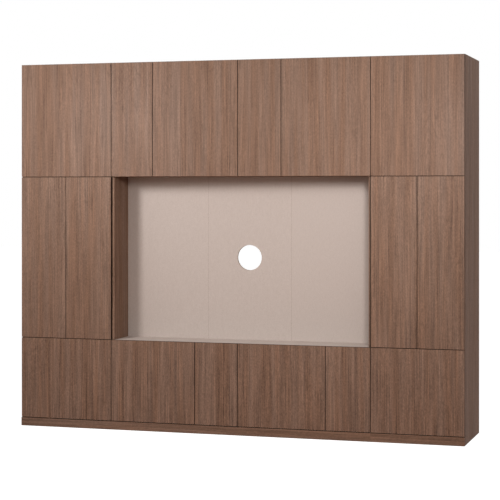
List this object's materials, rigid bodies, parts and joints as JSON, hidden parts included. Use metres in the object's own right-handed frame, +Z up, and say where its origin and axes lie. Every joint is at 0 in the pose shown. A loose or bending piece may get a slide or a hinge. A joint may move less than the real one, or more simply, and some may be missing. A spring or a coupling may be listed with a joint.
{
  "type": "wall unit",
  "caption": "Full-height handleless wall unit with two towers, upper and base cabinets, and a shallow television niche with a cable hole.",
  "frame": {"origin": "on the floor, in the middle of the footprint's width and depth", "axes": "+X to the viewer's right along the front, +Y from the fronts to the wall, +Z up"},
  "size_m": [2.964, 0.575, 2.4],
  "materials": {
    "laminate": "walnut-look laminate, vertical grain, satin",
    "carcass": "walnut-look laminate carcass board, satin",
    "greige": "greige linen-look laminate, matt",
    "backing": "thin hardboard, matt",
    "softwood": "planed softwood, matt",
    "nickel": "nickel-plated pressed steel",
    "zinc": "zinc-plated steel",
    "black_plastic": "black moulded plastic, matt",
    "grey_plastic": "light grey moulded plastic, matt"
  },
  "bodies": {
    "cabinet": {"plinth_left": "laminate", "plinth_centre": "laminate", "plinth_right": "laminate", "left_tower_outer_side": "laminate", "left_tower_inner_side": "laminate", "right_tower_inner_side": "laminate", "right_tower_outer_side": "laminate", "left_tower_decks": "carcass", "upper_cabinet_left": "carcass", "base_cabinet_left": "carcass", "right_tower_decks": "carcass", "upper_cabinet_right": "carcass", "base_cabinet_right": "carcass", "back_boards": "backing", "wall_rails": "softwood", "niche_lining_left": "laminate", "niche_lining_right": "laminate", "niche_sill": "greige", "niche_panel_left": "greige", "niche_panel_centre": "greige", "niche_panel_right": "greige", "niche_posts": "softwood", "loose_shelves": "carcass", "shelf_pins": "zinc", "levelling_feet": "black_plastic", "hinge_plates": "nickel", "hinge_arms": "nickel", "push_latches": "grey_plastic"},
    "upper_door_far_left": {"upper_door_far_left": "laminate", "upper_door_far_left_cups": "nickel"},
    "upper_door_narrow_left": {"upper_door_narrow_left": "laminate", "upper_door_narrow_left_cups": "nickel"},
    "upper_door_wide_left": {"upper_door_wide_left": "laminate", "upper_door_wide_left_cups": "nickel"},
    "upper_door_narrow_right": {"upper_door_narrow_right": "laminate", "upper_door_narrow_right_cups": "nickel"},
    "upper_door_wide_right": {"upper_door_wide_right": "laminate", "upper_door_wide_right_cups": "nickel"},
    "upper_door_far_right": {"upper_door_far_right": "laminate", "upper_door_far_right_cups": "nickel"},
    "lower_door_far_left": {"lower_door_far_left": "laminate", "lower_door_far_left_cups": "nickel"},
    "lower_door_wide_left": {"lower_door_wide_left": "laminate", "lower_door_wide_left_cups": "nickel"},
    "lower_door_narrow_left": {"lower_door_narrow_left": "laminate", "lower_door_narrow_left_cups": "nickel"},
    "lower_door_wide_right": {"lower_door_wide_right": "laminate", "lower_door_wide_right_cups": "nickel"},
    "lower_door_narrow_right": {"lower_door_narrow_right": "laminate", "lower_door_narrow_right_cups": "nickel"},
    "lower_door_far_right": {"lower_door_far_right": "laminate", "lower_door_far_right_cups": "nickel"},
    "left_tower_door_outer": {"left_tower_door_outer": "laminate", "left_tower_door_outer_cups": "nickel"},
    "left_tower_door_inner": {"left_tower_door_inner": "laminate", "left_tower_door_inner_cups": "nickel"},
    "right_tower_door_inner": {"right_tower_door_inner": "laminate", "right_tower_door_inner_cups": "nickel"},
    "right_tower_door_outer": {"right_tower_door_outer": "laminate", "right_tower_door_outer_cups": "nickel"}
  },
  "joints": [
    {"name": "upper_door_far_left_hinge", "type": "hinge", "parent": "cabinet", "child": "upper_door_far_left", "pos_m": [-1.48, -0.2875, 2.0265], "axis": [0, 0, -1], "range_deg": [0, 90]},
    {"name": "upper_door_narrow_left_hinge", "type": "hinge", "parent": "cabinet", "child": "upper_door_narrow_left", "pos_m": [-0.8385, -0.2875, 2.0265], "axis": [0, 0, -1], "range_deg": [0, 90]},
    {"name": "upper_door_wide_left_hinge", "type": "hinge", "parent": "cabinet", "child": "upper_door_wide_left", "pos_m": [0.0255, -0.2875, 2.0265], "axis": [0, 0, 1], "range_deg": [0, 90]},
    {"name": "upper_door_narrow_right_hinge", "type": "hinge", "parent": "cabinet", "child": "upper_door_narrow_right", "pos_m": [0.0285, -0.2875, 2.0265], "axis": [0, 0, -1], "range_deg": [0, 90]},
    {"name": "upper_door_wide_right_hinge", "type": "hinge", "parent": "cabinet", "child": "upper_door_wide_right", "pos_m": [0.8925, -0.2875, 2.0265], "axis": [0, 0, 1], "range_deg": [0, 90]},
    {"name": "upper_door_far_right_hinge", "type": "hinge", "parent": "cabinet", "child": "upper_door_far_right", "pos_m": [1.48, -0.2875, 2.0265], "axis": [0, 0, 1], "range_deg": [0, 90]},
    {"name": "lower_door_far_left_hinge", "type": "hinge", "parent": "cabinet", "child": "lower_door_far_left", "pos_m": [-1.48, -0.2875, 0.32225], "axis": [0, 0, -1], "range_deg": [0, 90]},
    {"name": "lower_door_wide_left_hinge", "type": "hinge", "parent": "cabinet", "child": "lower_door_wide_left", "pos_m": [-0.8385, -0.2875, 0.32225], "axis": [0, 0, -1], "range_deg": [0, 90]},
    {"name": "lower_door_narrow_left_hinge", "type": "hinge", "parent": "cabinet", "child": "lower_door_narrow_left", "pos_m": [0.0255, -0.2875, 0.32225], "axis": [0, 0, 1], "range_deg": [0, 90]},
    {"name": "lower_door_wide_right_hinge", "type": "hinge", "parent": "cabinet", "child": "lower_door_wide_right", "pos_m": [0.0285, -0.2875, 0.32225], "axis": [0, 0, -1], "range_deg": [0, 90]},
    {"name": "lower_door_narrow_right_hinge", "type": "hinge", "parent": "cabinet", "child": "lower_door_narrow_right", "pos_m": [0.8925, -0.2875, 0.32225], "axis": [0, 0, 1], "range_deg": [0, 90]},
    {"name": "lower_door_far_right_hinge", "type": "hinge", "parent": "cabinet", "child": "lower_door_far_right", "pos_m": [1.48, -0.2875, 0.32225], "axis": [0, 0, 1], "range_deg": [0, 90]},
    {"name": "left_tower_door_outer_hinge", "type": "hinge", "parent": "cabinet", "child": "left_tower_door_outer", "pos_m": [-1.48, -0.2875, 1.1205], "axis": [0, 0, -1], "range_deg": [0, 90]},
    {"name": "left_tower_door_inner_hinge", "type": "hinge", "parent": "cabinet", "child": "left_tower_door_inner", "pos_m": [-0.8415, -0.2875, 1.1205], "axis": [0, 0, 1], "range_deg": [0, 90]},
    {"name": "right_tower_door_inner_hinge", "type": "hinge", "parent": "cabinet", "child": "right_tower_door_inner", "pos_m": [0.8955, -0.2875, 1.1205], "axis": [0, 0, -1], "range_deg": [0, 90]},
    {"name": "right_tower_door_outer_hinge", "type": "hinge", "parent": "cabinet", "child": "right_tower_door_outer", "pos_m": [1.48, -0.2875, 1.1205], "axis": [0, 0, 1], "range_deg": [0, 90]}
  ]
}
